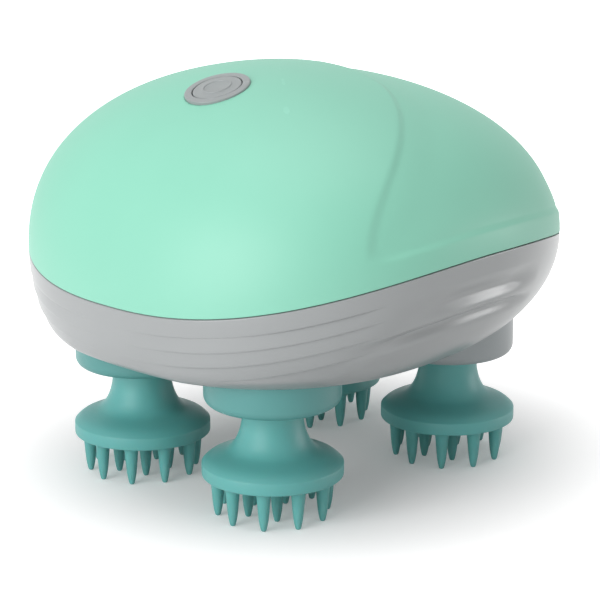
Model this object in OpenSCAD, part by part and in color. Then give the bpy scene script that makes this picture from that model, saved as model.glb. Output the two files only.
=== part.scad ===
// Electric scalp massager: a two-shell body on four spinning silicone heads.
// +Z is up, -X is the front, and the fingertips stand on Z = 0.
// Left is -Y, as seen by someone who stands behind the tail and looks forward.

/* [Body] */
// Length from the widest section to the front tip
front_length = 56; // [53:0.5:59]
// Length from the widest section to the tail tip
tail_length = 61; // [58:0.5:64]
// Overall width
body_width = 112.8; // [108:0.4:118]
// Height of the dome above the ground
body_height = 90.3; // [88:0.1:96]
// Wall of both shells
shell_wall = 2.2; // [1.8:0.1:2.6]
// Height of the shell joint at its crown
joint_crown = 57.6; // [56.5:0.1:59]
// Drop of the shell joint, 60 mm before and behind its crown
joint_drop = 12.2; // [10:0.1:13]
// Shadow gap between the shells, filled by the gasket
joint_gap = 0.4; // [0.3:0.05:0.6]
// Height of the underside above the ground, midway between the heads
keel_height = 28.6; // [28:0.1:30]

/* [Shell details] */
// Depth of the recessed tail area
recess_depth = 1; // [0.6:0.1:1.2]
// Height of the lip band above the joint
lip_height = 5.2; // [4:0.1:7]
// Depth of each grip step
step_depth = 0.4; // [0.3:0.05:0.7]
// Distance between the grip steps
step_pitch = 3.2; // [2.8:0.1:3.4]
// Number of grip steps on each side
step_count = 4; // [2:1:4]
// Depth of the scooped flank
scoop_depth = 0.9; // [0.5:0.1:1.2]

/* [Heads] */
// Distance between the front and the rear heads
head_pitch_x = 55.4; // [55:0.2:57]
// Distance between the left and the right heads
head_pitch_y = 41.2; // [41:0.2:42]
// Centre of the four heads, from the middle of the body
head_center_x = -3.6; // [-4:0.1:-3]
// Radius of the disc of a head
disc_radius = 15; // [14:0.25:15.5]
// Height of the disc's rim band
rim_height = 2; // [1.6:0.1:2.6]
// Radius of the neck
neck_radius = 6.45; // [6.2:0.05:6.7]
// Length of the fingers
finger_length = 8.9; // [7:0.1:9.5]
// Radius of a finger where it leaves the disc
finger_base_r = 1.6; // [1.3:0.05:1.7]
// Radius of the flat at a fingertip
finger_tip_r = 0.35; // [0.3:0.05:0.5]
// Number of outer fingers
outer_fingers = 10; // [8:1:11]
// Number of inner fingers
inner_fingers = 5; // [4:1:6]
// Radius of the collar round a head
collar_radius = 14.5; // [14:0.1:15]
// Height of the collar's lower face
collar_low = 24.4; // [24:0.1:25]

/* [Drive] */
// Teeth of the pinion on a worm wheel
pinion_teeth = 28; // [28:2:28]
// Teeth of an output gear
output_teeth = 28; // [28:2:28]
// Teeth of a worm wheel
wheel_teeth = 30; // [30:4:30]
// Thickness of the gears
gear_height = 4; // [3:0.5:4]
// Radius of the worm at its pitch line
worm_pitch_r = 4.6; // [4.4:0.1:4.8]
// Radius of an output shaft
shaft_radius = 2.5; // [2:0.1:2.8]
// Radius of the motor's can
motor_radius = 10.2; // [9:0.1:10.6]
// Length of the motor's can
motor_length = 25; // [20:0.5:26]
// Radius of the battery
battery_radius = 9.2; // [8.5:0.1:9.4]
// Length of the battery
battery_length = 65; // [60:0.5:66]

/* [Power button] */
// Distance of the button in front of the middle of the body
button_forward = 27; // [24:0.5:29]
// Outer radius of the bezel
bezel_radius = 7.1; // [6.6:0.1:7.6]
// Radius of the cap
cap_radius = 5.3; // [4.8:0.1:5.4]
// Travel of the cap
cap_travel = 0.5; // [0.3:0.05:0.6]

/* [Hidden] */
$fn = 48;
running_gap = 0.06;          // radial clearance of a shaft that turns
seat_gap = 0.02;             // radial clearance of a pressed or seated part
loose_gap = 0.2;             // clearance of parts that slide past each other

// Plan: two superellipse halves that meet at the widest section
widest_x = (front_length - tail_length) / 2;
front_power = 2.4;
tail_power = 1.87;
joint_crown_x = -0.9;
apex_x = -9;                 // highest point of the dome
dome_power = 0.99;           // 1 is an ellipse, less is fuller
dome_front_fill = 0.07;      // how much fuller the dome gets over 60 mm to the front
dome_tail_fill = 0.11;       // and over 60 mm to the tail
keel_rise = 3.6;             // how much the underside climbs over 60 mm to the front
keel_x = 17;                 // where the flanks of the lower shell meet underneath
flank_power = 0.47;          // 1 is an ellipse, less is fuller
flank_power_rise = 0.44;
flank_power_min = 0.05;
unit_x = 60;                 // the length that the rises are given for
plan_sides = 60;

// Recessed tail area: its front edge climbs the dome as a power curve
edge_low_x = -32.6;
edge_run = 38;
edge_power = 1.9;
edge_low_z = joint_crown + 2.4;
edge_soft = 2.4;
lip_soft = 1.4;
corner_soft = 2.2;
top_fade = 0.7;              // share of the recess's depth that is lost at the top
// Grip steps, over the front half of each flank
step_first = 3.8;
step_fade_y = [3, 22];
step_fade_x = [-34, -27];
// Scoop between two soft ridges, behind the steps
scoop_center = 10.8;
scoop_reach = 5;
scoop_fade_in = [-32, -12];
scoop_fade_out = [26, 48];

// Levels, from the ground up
disc_low = finger_length;
rim_top = disc_low + rim_height;
neck_low = rim_top + 11.1;
core_low = disc_low + 3.1;
head_front_x = head_center_x - head_pitch_x / 2;
plate_height = 3;
collar_height = 10.6;
base_z = collar_low + collar_height;
gear_z = base_z + plate_height + 0.6;
cover_z = gear_z + gear_height + 0.8;
cover_height = 2.5;
cover_top = cover_z + cover_height;
worm_z = cover_top + motor_radius + 0.3;
neck_top = base_z - 5.3;

// Gears
wheel_radius = head_pitch_y / 2 - worm_pitch_r;
wheel_module = 2 * wheel_radius / wheel_teeth;
gear_module = head_pitch_x / (pinion_teeth + output_teeth);
pressure_angle = 20;
gear_backlash = 0.16;
wheel_backlash = 0.6;
wheel_tip = 0.85;            // height of its teeth over the pitch circle, in modules
worm_backlash = 0.5;
hub_radius = 5;
axle_radius = 2;
worm_turns = 4;
worm_steps = 16;
worm_bore = 1;
worm_pitch = PI * wheel_module;
worm_length = (worm_turns + 1) * worm_pitch;
worm_root = worm_pitch_r - 1.1 * wheel_module;
worm_tip = worm_pitch_r + 0.85 * wheel_module;

// Motor, its bracket and the post of the worm's free end
bracket_x = head_center_x + wheel_radius - 1.4;
bracket_thick = 2;
motor_x = bracket_x + bracket_thick;
motor_nose_r = 3;
motor_screw_at = 6.5;        // distance of its screws from the shaft
foot_x = bracket_x - 2.5;
foot_y = 7.3;
foot_height = 1.5;
post_x = head_center_x - wheel_radius + 0.8;
post_thick = 3;
worm_bush_r = 2.6;

// Battery in the front of the body, across it
cradle_floor = 1.6;
battery_z = cover_top + cradle_floor + battery_radius + 0.1;
battery_x = head_front_x - 1.7;

// Collar and what it holds
collar_wall = 1.8;
collar_web = 3.5;
collar_screw_r = 0.9;
collar_screw_at = 10;        // distance of a collar's screws from the head's axis
neck_gap = 0.5;
seal_radius = 6;
seal_height = 3;
web_height = 1.3;
bush_radius = 4.5;
core_radius = 4.6;
screw_r = 1.4;
screw_head_r = 2.6;
screw_head_h = 1.8;
boss_radius = 3.4;
shell_boss_depth = 8;

// Positions that several parts share
head_spots = [for (sx = [-1, 1], sy = [-1, 1])
    [head_center_x + sx * head_pitch_x / 2, sy * head_pitch_y / 2]];
wheel_spots = [for (sy = [-1, 1]) [head_center_x, sy * head_pitch_y / 2]];
gearbox_side_y = head_pitch_y / 2 + 14.4;
gearbox_spots = concat([[head_center_x - 9, 0], [head_center_x + 9, 0]],
    [for (sx = [-1, 1], sy = [-1, 1]) [head_center_x + sx * 13, sy * gearbox_side_y]]);
shell_side_y = head_pitch_y / 2 + wheel_radius + wheel_tip * wheel_module + boss_radius + 0.6;
shell_spots = [[widest_x - front_length + 8.5, 0], [widest_x + tail_length - 12.5, 0],
    [head_center_x, -shell_side_y], [head_center_x, shell_side_y]];
contact_spots = [[head_center_x, -6], [head_center_x, 6]];
contact_radius = 2.2;

// The two screws of a collar lie on its inner sides
collar_spots = [for (s = head_spots) each
    [[s.x + (s.x < head_center_x ? 1 : -1) * collar_screw_at, s.y],
        [s.x, s.y + (s.y < 0 ? 1 : -1) * collar_screw_at]]];

// Power button, in a frame that stands on the dome
button_x = -button_forward;
button_z = dome_z(button_x);
button_tilt = atan((dome_z(button_x + 1) - dome_z(button_x - 1)) / 2);
bezel_flange = 1.6;
bezel_seat = 1.6;            // depth of the bezel's seat below the surface
bezel_gasket = 0.6;
bezel_low = bezel_seat + bezel_gasket + 1.8;
cap_gap = 0.2;
cap_flange = 1;
stem_low = bezel_low + 0.2;
board_top = bezel_low + 2.6;
board_thick = 1.6;
board_size = [26, 22];
board_shift = 2;
board_spots = [for (sx = [-1, 1], sy = [-1, 1])
    [board_shift + sx * (board_size.x / 2 - 2.5), sy * (board_size.y / 2 - 2.5)]];

mint = "#9fe3c9";
teal = "#58a59e";
grey = "#a5a8a9";
dark = "#3c4244";
steel = "#c4c7c9";
brass = "#c9a45c";
ivory = "#e6e2d2";

// ---------- Surfaces of the body ----------

function ease(v, lo, hi) =
    let (u = max(0, min(1, (v - lo) / (hi - lo)))) u * u * (3 - 2 * u);

function joint_z(x) = joint_crown - joint_drop * pow((x - joint_crown_x) / unit_x, 2);
function keel_z(x) = keel_height - keel_rise * (x - head_center_x) / unit_x;

// Point of the plan outline at an angle, drawn in by an inset
function plan_point(a, inset) =
    let (c = cos(a), s = sin(a),
        reach = (c < 0 ? front_length : tail_length) - inset,
        half = body_width / 2 - inset,
        n = c < 0 ? front_power : tail_power,
        r = pow(pow(abs(c) / reach, n) + pow(abs(s) / half, n), -1 / n))
    [widest_x + r * c, r * s];

function climb_power(x) =
    dome_power - (x < 0 ? -dome_front_fill : dome_tail_fill) * x / unit_x;

// Point of the dome, from t = 0 at the joint to t = 90 at the apex
function dome_point(a, t, inset) =
    let (e = plan_point(a, inset), low = joint_z(e.x) + joint_gap / 2,
        climb = pow(sin(t), climb_power(e.x)))
    [apex_x + (e.x - apex_x) * cos(t), e.y * cos(t), low + (body_height - inset - low) * climb];

// Height of the dome above the middle line, in front of the apex
function dome_z(x) =
    let (tip = plan_point(180, 0).x) dome_point(180, acos((x - apex_x) / (tip - apex_x)), 0).z;

// How far a point of the dome lies in the recessed tail area, from 0 to 1. The area is bounded
// by the climbing edge and by the lip band, with a round corner, and gets shallow at the top.
function recess_share(p) =
    let (up = max(0, (p.z - edge_low_z) / (body_height - 0.8 - edge_low_z)),
        edge_x = edge_low_x + edge_run * pow(min(up, 1.1), edge_power),
        from_edge = (p.x - edge_x) / edge_soft,
        from_lip = (p.z - joint_z(p.x) - lip_height) / lip_soft,
        corner = max(0, corner_soft - abs(from_edge - from_lip)))
    ease(min(from_edge, from_lip) - corner * corner / (4 * corner_soft), -0.5, 0.5)
        * (1 - top_fade * ease(p.z, body_height - 24, body_height - 2));

function dome_skin(a, t) =
    dome_point(a, t, recess_depth * recess_share(dome_point(a, t, 0)));

// Angle t at which the dome stands a given height above the joint
function dome_t(a, rise) =
    let (e = plan_point(a, 0), low = joint_z(e.x) + joint_gap / 2)
    asin(pow(rise / (body_height - low), 1 / climb_power(e.x)));

// Point of the lower shell, from t = 0 at the joint to t = 90 underneath
function hull_point(a, t, inset) =
    let (e = plan_point(a, inset), high = joint_z(e.x) - joint_gap / 2,
        n = max(flank_power_min, flank_power + flank_power_rise * e.x / unit_x),
        reach = pow(max(cos(t), 0.0001), n),
        x = keel_x + (e.x - keel_x) * reach)
    [x, e.y * reach, high + (keel_z(x) + inset - high) * sin(t)];

function hull_t(a, depth) =
    let (e = plan_point(a, 0), high = joint_z(e.x) - joint_gap / 2)
    asin(min(0.995, depth / (high - keel_z(e.x))));

// Inset of the flank at a depth below the joint: grip steps, then the scoop
function step_inset(p, depth) =
    let (k = floor((depth - step_first) / step_pitch),
        along = (depth - step_first) / step_pitch - k,
        cut = (k < 0 || k >= step_count) ? 0 : 1 - along,
        weight = ease(abs(p.y), step_fade_y[0], step_fade_y[1])
            * (1 - ease(p.x, step_fade_x[0], step_fade_x[1])))
    step_depth * cut * weight;

function scoop_inset(p, depth) =
    scoop_depth * max(0, 1 - pow((depth - scoop_center) / scoop_reach, 2))
        * ease(p.x, scoop_fade_in[0], scoop_fade_in[1])
        * (1 - ease(p.x, scoop_fade_out[0], scoop_fade_out[1]));

// Row i of the outer skin: the first rows follow the steps, the rest spread below them
function flank_t(a, i) = min(hull_t(a, flank_depths[i]), 60 + 0.15 * i);

function flank_row(i) = [for (a = plan_angles)
    let (t = flank_t(a, i), p = hull_point(a, t, 0), depth = flank_depths[i])
    hull_point(a, t, step_inset(p, depth) + scoop_inset(p, depth))];

function flank_low_row(share) = [for (a = plan_angles)
    let (t = flank_t(a, len(flank_depths) - 1), u = t + (88 - t) * share,
        p = hull_point(a, u, 0))
    hull_point(a, u, scoop_inset(p, joint_z(p.x) - p.z))];

plan_angles = [for (i = [0:plan_sides - 1]) 360 * i / plan_sides];

// Closed solid through a stack of loops, with a point at each end
module loft(loops, first, last, flip) {
    n = len(loops[0]);
    m = len(loops);
    points = concat([first], [for (loop = loops) each loop], [last]);
    faces = concat(
        [for (i = [0:n - 1]) [0, 1 + (i + 1) % n, 1 + i]],
        [for (k = [0:m - 2], i = [0:n - 1])
            [1 + k * n + i, 1 + k * n + (i + 1) % n, 1 + (k + 1) * n + (i + 1) % n]],
        [for (k = [0:m - 2], i = [0:n - 1])
            [1 + k * n + i, 1 + (k + 1) * n + (i + 1) % n, 1 + (k + 1) * n + i]],
        [for (i = [0:n - 1]) [m * n + 1, 1 + (m - 1) * n + i, 1 + (m - 1) * n + (i + 1) % n]]);
    polyhedron(points, flip ? [for (f = faces) [f[2], f[1], f[0]]] : faces);
}

function dome_loop(t, inset) = [for (a = plan_angles) dome_point(a, t, inset)];
function hull_loop(t, inset) = [for (a = plan_angles) hull_point(a, t, inset)];

// Rows of the dome's outer skin, from the apex down; the lowest ones follow the lip
dome_high = [80, 70, 60, 50, 41, 33, 26, 20];
dome_rises = [lip_height + lip_soft / 2, lip_height - lip_soft / 2, 0];
dome_inner = [75, 58, 42, 28, 14, 0];
flank_depths = concat([0], [for (k = [0:step_count]) each
    [step_first + k * step_pitch - 0.05, step_first + k * step_pitch + 0.15]]);
flank_low = [0.2, 0.4, 0.58, 0.74, 0.88, 1];
hull_inner = [0, 20, 38, 56, 72, 84];

module dome_solid(inset) {
    loft([for (t = [75, 58, 42, 28, 14, 0]) dome_loop(t, inset)],
        [apex_x, 0, body_height - inset], [0, 0, keel_height], false);
}

module hull_solid(inset) {
    loft([for (t = [86, 76, 62, 46, 30, 15, 0]) hull_loop(t, inset)],
        [keel_x, 0, keel_z(keel_x) + inset], [0, 0, body_height], true);
}

module at_button() {
    translate([button_x, 0, button_z]) rotate([0, -button_tilt, 0]) children();
}

module upper_shell() {
    color(mint) difference() {
        union() {
            loft(concat(
                    [for (t = dome_high) [for (a = plan_angles) dome_skin(a, t)]],
                    [for (rise = dome_rises) [for (a = plan_angles) dome_skin(a, dome_t(a, rise))]],
                    [for (i = [len(dome_inner) - 1:-1:0]) dome_loop(dome_inner[i], shell_wall)]),
                dome_skin(0, 90), [apex_x, 0, body_height - shell_wall], false);
            intersection() {
                dome_solid(shell_wall / 2);
                union() {
                    for (s = shell_spots) {
                        translate([s.x, s.y, joint_z(s.x) + joint_gap / 2])
                            cylinder(r = boss_radius, h = body_height);
                    }
                    at_button() for (s = board_spots) {
                        translate([s.x, s.y, -board_top]) cylinder(r = 2.2, h = board_top);
                    }
                }
            }
        }
        at_button() {
            translate([0, 0, -bezel_seat - 1]) cylinder(r = bezel_radius + seat_gap, h = 5);
            translate([0, 0, -bezel_low - 1])
                cylinder(r = bezel_radius + bezel_flange + 0.1, h = bezel_low + 1 - bezel_seat);
            for (s = board_spots) {
                translate([s.x, s.y, -board_top - 1]) cylinder(r = 0.8, h = 4);
            }
        }
        for (s = shell_spots) {
            translate([s.x, s.y, joint_z(s.x) - 1])
                cylinder(r = screw_r + seat_gap, h = shell_boss_depth + 2);
        }
    }
}

module lower_shell() {
    color(grey) difference() {
        union() {
            loft(concat(
                    [for (i = [len(flank_low) - 1:-1:0]) flank_low_row(flank_low[i])],
                    [for (i = [len(flank_depths) - 1:-1:0]) flank_row(i)],
                    [for (t = hull_inner) hull_loop(t, shell_wall)]),
                [keel_x, 0, keel_z(keel_x)], [keel_x, 0, keel_z(keel_x) + shell_wall], true);
            intersection() {
                hull_solid(shell_wall / 2);
                union() {
                    for (s = gearbox_spots) {
                        translate([s.x, s.y, 0]) cylinder(r = boss_radius, h = base_z);
                    }
                    for (s = shell_spots) {
                        translate([s.x, s.y, 0])
                            cylinder(r = boss_radius + 0.6, h = joint_z(s.x) - joint_gap / 2);
                    }
                }
            }
        }
        for (s = head_spots) {
            translate([s.x, s.y, 0]) cylinder(r = collar_radius + seat_gap, h = base_z + 0.01);
        }
        for (s = gearbox_spots) {
            translate([s.x, s.y, keel_height + 2]) cylinder(r = screw_r + seat_gap, h = base_z);
        }
        for (s = shell_spots) {
            translate([s.x, s.y, 0]) cylinder(r = screw_r + 0.1, h = body_height);
            translate([s.x, s.y, 0])
                cylinder(r = screw_head_r + 0.2, h = joint_z(s.x) - shell_boss_depth);
        }
        for (s = contact_spots) {
            translate([s.x, s.y, 0]) cylinder(r = contact_radius + seat_gap, h = base_z);
        }
    }
}

// Seal in the joint, drawn in a little so that the joint shows as a dark line
module shell_gasket() {
    n = plan_sides;
    outer = [for (a = plan_angles) plan_point(a, 0.5)];
    inner = [for (a = plan_angles) plan_point(a, shell_wall - 0.2)];
    function ring(loop, side) =
        [for (p = loop) [p.x, p.y, joint_z(p.x) + side * (joint_gap / 2 - seat_gap)]];
    points = concat(ring(outer, 1), ring(outer, -1), ring(inner, -1), ring(inner, 1));
    color(dark) polyhedron(points, [for (k = [0:3], i = [0:n - 1], half = [0, 1])
        let (j = (i + 1) % n, q = k * n, w = ((k + 1) % 4) * n)
        half == 0 ? [q + i, q + j, w + j] : [q + i, w + j, w + i]]);
}

// ---------- Fasteners ----------

// Pan-head screw that points up, with the face under its head at z = 0
module screw(length, r, head_r, head_h) {
    cylinder(r = r, h = length);
    translate([0, 0, -head_h]) difference() {
        cylinder(r = head_r, h = head_h);
        for (turn = [0, 90]) rotate([0, 0, turn]) {
            translate([-head_r * 0.6, -0.25, -0.01]) cube([head_r * 1.2, 0.5, head_h * 0.5]);
        }
    }
}

module shell_screws() {
    color(steel) for (s = shell_spots) {
        translate([s.x, s.y, joint_z(s.x) - shell_boss_depth])
            screw(2 * shell_boss_depth - 0.5, screw_r, screw_head_r, screw_head_h);
    }
}

module gearbox_screws() {
    color(steel) for (s = gearbox_spots) {
        translate([s.x, s.y, cover_top]) rotate([180, 0, 0])
            screw(cover_top - keel_height - 2.5, screw_r, screw_head_r, screw_head_h);
    }
}

module board_screws() {
    color(steel) at_button() for (s = board_spots) {
        translate([s.x, s.y, -board_top - board_thick]) screw(board_thick + 2.6, 0.75, 1.6, 1);
    }
}

module collar_screws() {
    color(steel) for (s = collar_spots) {
        translate([s.x, s.y, base_z + plate_height - 1.3]) rotate([180, 0, 0])
            screw(plate_height + 1.5, collar_screw_r, 1.7, 1.1);
    }
}

// Two through the bracket into the motor's face, two through its feet into the cover
module motor_screws() {
    color(steel) for (side = [-1, 1]) {
        translate([bracket_x, 0, worm_z + side * motor_screw_at]) rotate([0, 90, 0]) screw(6, 1, 2, 1.2);
        translate([foot_x, side * foot_y, cover_top + foot_height]) rotate([180, 0, 0])
            screw(foot_height + 2, 1, 2, 1.2);
    }
}

// ---------- Power button and its board ----------

module button_bezel() {
    low = cap_radius + cap_gap + cap_flange;
    color(grey) at_button() rotate_extrude() polygon([
        [cap_radius + cap_gap, 0.3], [bezel_radius - 0.4, 0.3], [bezel_radius, -0.1],
        [bezel_radius, -bezel_seat - bezel_gasket],
        [bezel_radius + bezel_flange, -bezel_seat - bezel_gasket],
        [bezel_radius + bezel_flange, -bezel_low], [low, -bezel_low],
        [low, -bezel_seat - 0.3], [cap_radius + cap_gap, -bezel_seat - 0.3]]);
}

module button_gasket() {
    color(dark) at_button() translate([0, 0, -bezel_seat - bezel_gasket + seat_gap])
        difference() {
            cylinder(r = bezel_radius + bezel_flange, h = bezel_gasket - 2 * seat_gap);
            translate([0, 0, -1]) cylinder(r = bezel_radius + seat_gap, h = 3);
        }
}

// Cap with a raised ring, a flange that keeps it in the bezel and a stem over the switch
module power_button() {
    ring_r = 3;
    color(grey) at_button() rotate_extrude() polygon([
        [0, 0.35], [ring_r - 0.3, 0.35], [ring_r - 0.15, 0.6], [ring_r + 0.15, 0.6],
        [ring_r + 0.3, 0.35], [cap_radius - 0.3, 0.35], [cap_radius, 0.1],
        [cap_radius, -bezel_seat - 0.35],
        [cap_radius + cap_flange, -bezel_seat - 0.35], [cap_radius + cap_flange, -bezel_low + 0.9],
        [1.5, -bezel_low + 0.9], [1.5, -stem_low], [0, -stem_low]]);
}

module board_frame() {
    color(ivory) at_button() translate([0, 0, -board_top]) difference() {
        cylinder(r = bezel_radius + bezel_flange, h = board_top - bezel_low);
        translate([0, 0, -1]) cylinder(r = bezel_radius - 0.3, h = 5);
    }
}

module control_board() {
    color("#2f6b45") at_button() translate([board_shift, 0, -board_top - board_thick]) {
        difference() {
            translate([-board_size.x / 2, -board_size.y / 2, 0])
                cube([board_size.x, board_size.y, board_thick]);
            for (s = board_spots) {
                translate([s.x - board_shift, s.y, -1]) cylinder(r = 0.9, h = 4);
            }
        }
        translate([-4, -3, -1.2]) cube([7, 6, 1.2]);
        translate([6, -5, -0.8]) cube([3, 9, 0.8]);
    }
}

module push_switch() {
    body = [6, 6, board_top - stem_low - cap_travel - 0.8];
    color(dark) at_button() translate([0, 0, -board_top]) {
        translate([-body.x / 2, -body.y / 2, 0]) cube(body);
        cylinder(r = 1.6, h = board_top - stem_low - cap_travel - 0.05);
    }
}

// ---------- Power ----------

module battery() {
    color("#4f6f9b") translate([battery_x, -battery_length / 2, battery_z]) rotate([-90, 0, 0]) {
        cylinder(r = battery_radius, h = battery_length);
        translate([0, 0, battery_length]) cylinder(r = 3, h = 1);
    }
}

module battery_cradle() {
    rib = 3;
    rib_y = battery_length / 2 - 8;
    wide = 2 * battery_radius - 2;
    color(dark) translate([battery_x, 0, cover_top]) {
        translate([-wide / 2, -rib_y, 0]) cube([wide, 2 * rib_y, cradle_floor]);
        for (side = [-1, 1]) difference() {
            translate([-wide / 2, side * rib_y - rib / 2, 0])
                cube([wide, rib, battery_radius]);
            translate([0, side * rib_y - rib, battery_z - cover_top]) rotate([-90, 0, 0])
                cylinder(r = battery_radius + seat_gap, h = 2 * rib);
        }
    }
}

module charge_contacts() {
    color(brass) for (s = contact_spots) {
        translate([s.x, s.y, keel_z(s.x) - 0.2]) cylinder(r = contact_radius, h = shell_wall + 2);
        translate([s.x, s.y, keel_z(s.x) + shell_wall + 0.3])
            cylinder(r = contact_radius + 0.9, h = 1);
    }
}

module motor() {
    nose = 1.5;
    color(steel) translate([motor_x, 0, worm_z]) rotate([0, 90, 0]) difference() {
        union() {
            cylinder(r = motor_radius, h = motor_length);
            translate([0, 0, -nose]) cylinder(r = motor_nose_r, h = nose + 1);
            translate([0, 0, motor_length]) cylinder(r = motor_nose_r, h = 1.2);
            for (side = [-1, 1]) {
                translate([-0.4, side * 6 - 1, motor_length]) cube([0.8, 2, 3]);
            }
        }
        translate([0, 0, -nose - 1]) cylinder(r = worm_bore + running_gap, h = 12);
        for (side = [-1, 1]) translate([side * motor_screw_at, 0, -1]) cylinder(r = 1 + seat_gap, h = 6);
    }
}

module motor_bracket() {
    half = motor_radius + 0.1;
    color(steel) difference() {
        union() {
            translate([bracket_x, -half, cover_top])
                cube([bracket_thick, 2 * half, worm_z - cover_top]);
            translate([bracket_x, 0, worm_z]) rotate([0, 90, 0])
                cylinder(r = half, h = bracket_thick);
            for (side = [-1, 1]) {
                translate([bracket_x - 5, side * foot_y - 3, cover_top])
                    cube([5.1, 6, foot_height]);
            }
        }
        for (side = [-1, 1]) {
            translate([foot_x, side * foot_y, cover_top - 1]) cylinder(r = 1.1, h = 4);
        }
        translate([bracket_x - 1, 0, worm_z]) rotate([0, 90, 0]) {
            cylinder(r = motor_nose_r + seat_gap, h = bracket_thick + 2);
            for (side = [-1, 1]) translate([side * motor_screw_at, 0, 0]) cylinder(r = 1.1, h = 5);
        }
    }
}

// ---------- Gears ----------

function involute(r, base_r) =
    let (c = min(1, base_r / r), at = acos(c)) tan(at) * 180 / PI - at;

// Half angle of a tooth at radius r, thinned by the backlash
function tooth_half(r, teeth, m, slack) =
    let (pr = m * teeth / 2, br = pr * cos(pressure_angle))
    90 / teeth - slack / 2 / pr * 180 / PI + involute(pr, br) - involute(max(r, br), br);

module gear_outline(teeth, m, slack, tip, root) {
    pr = m * teeth / 2;
    low = pr - root * m;
    high = pr + tip * m;
    radii = [low, low + (pr - low) * 0.55, pr, high - (high - pr) * 0.4, high];
    polygon([for (k = [0:teeth - 1]) each concat(
        [for (i = [0:4]) let (a = 360 * k / teeth - tooth_half(radii[i], teeth, m, slack))
            radii[i] * [cos(a), sin(a)]],
        [for (i = [4:-1:0]) let (a = 360 * k / teeth + tooth_half(radii[i], teeth, m, slack))
            radii[i] * [cos(a), sin(a)]])]);
}

module output_gear(s) {
    color(ivory) translate([s.x, s.y, gear_z]) difference() {
        rotate([0, 0, 180 / output_teeth]) linear_extrude(gear_height)
            gear_outline(output_teeth, gear_module, gear_backlash, 0.9, 1.2);
        translate([0, 0, -1]) cylinder(r = shaft_radius + seat_gap, h = gear_height + 2);
        for (k = [0:5]) rotate([0, 0, 60 * k]) translate([9, 0, -1])
            cylinder(r = 2.4, h = gear_height + 2);
    }
}

// Worm wheel and pinion in one moulding; the phase puts a tooth gap on the worm's thread
module worm_wheel(s, phase) {
    color(ivory) translate([s.x, s.y, 0]) difference() {
        union() {
            translate([0, 0, gear_z]) linear_extrude(gear_height)
                gear_outline(pinion_teeth, gear_module, gear_backlash, 0.9, 1.2);
            translate([0, 0, gear_z + 0.5]) cylinder(r = hub_radius, h = worm_z - gear_z + 2);
            translate([0, 0, worm_z - gear_height / 2]) rotate([0, 0, phase])
                linear_extrude(gear_height)
                    gear_outline(wheel_teeth, wheel_module, wheel_backlash, wheel_tip, 1.1);
        }
        cylinder(r = axle_radius + running_gap, h = body_height);
        for (k = [0:5]) rotate([0, 0, 60 * k + 30]) translate([9.6, 0, worm_z - gear_height])
            cylinder(r = 2.4, h = 2 * gear_height);
    }
}

module wheel_axles() {
    color(steel) for (s = wheel_spots) translate([s.x, s.y, base_z + 0.2])
        cylinder(r = axle_radius, h = worm_z + 4 - base_z);
}

module axle_clips() {
    color(steel) for (s = wheel_spots) translate([s.x, s.y, worm_z + 2.8]) difference() {
        cylinder(r = axle_radius + 1.6, h = 0.7);
        translate([0, 0, -1]) cylinder(r = axle_radius + seat_gap, h = 3);
        translate([0, -0.8, -1]) cube([6, 1.6, 3]);
    }
}

// Thread of the worm: a trapezoid swept along a right-hand helix about X
module worm_thread() {
    half_root = worm_pitch / 4 - worm_backlash / 2 + 0.36 * wheel_module;
    half_tip = worm_pitch / 4 - worm_backlash / 2 - 0.3 * wheel_module;
    last = worm_turns * worm_steps;
    function section(k) = let (a = 360 * k / worm_steps, x = worm_pitch * k / worm_steps)
        [for (q = [[-half_root, worm_root - 0.3], [-half_tip, worm_tip],
                [half_tip, worm_tip], [half_root, worm_root - 0.3]])
            [x + q.x, q.y * cos(a), q.y * sin(a)]];
    points = [for (k = [0:last]) each section(k)];
    faces = concat([[2, 1, 0], [3, 2, 0]],
        [for (k = [0:last - 1], i = [0:3], half = [0, 1])
            let (j = (i + 1) % 4, q = 4 * k)
            half == 0 ? [q + i, q + j, q + 4 + i] : [q + j, q + 4 + j, q + 4 + i]],
        [[4 * last, 4 * last + 1, 4 * last + 2], [4 * last, 4 * last + 2, 4 * last + 3]]);
    translate([-worm_pitch * worm_turns / 2, 0, 0]) polyhedron(points, faces);
}

module worm() {
    color(ivory) translate([head_center_x, 0, worm_z]) difference() {
        union() {
            translate([-worm_length / 2, 0, 0]) rotate([0, 90, 0])
                cylinder(r = worm_root, h = worm_length);
            worm_thread();
        }
        translate([-worm_length, 0, 0]) rotate([0, 90, 0])
            cylinder(r = worm_bore + seat_gap, h = 2 * worm_length);
    }
}

module motor_shaft() {
    low_x = post_x - post_thick - 0.6;
    color(steel) translate([low_x, 0, worm_z]) rotate([0, 90, 0])
        cylinder(r = worm_bore, h = motor_x + 8 - low_x);
}

module worm_bush() {
    color(brass) translate([post_x - post_thick, 0, worm_z]) rotate([0, 90, 0]) difference() {
        cylinder(r = worm_bush_r, h = post_thick + 0.5);
        translate([0, 0, -1]) cylinder(r = worm_bore + running_gap, h = 3 * post_thick);
    }
}

// ---------- Gearbox ----------

// Rounded plate over the four heads, with two ears at each side
module gearbox_plate(height) {
    corner = 10.5;
    linear_extrude(height) {
        translate([head_center_x, 0]) {
            square([head_pitch_x + 2 * corner, head_pitch_y], center = true);
            square([head_pitch_x, head_pitch_y + 2 * corner], center = true);
        }
        for (s = head_spots) translate(s) circle(r = corner);
        for (i = [2:5]) translate(gearbox_spots[i]) circle(r = boss_radius + 1.2);
    }
}

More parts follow.
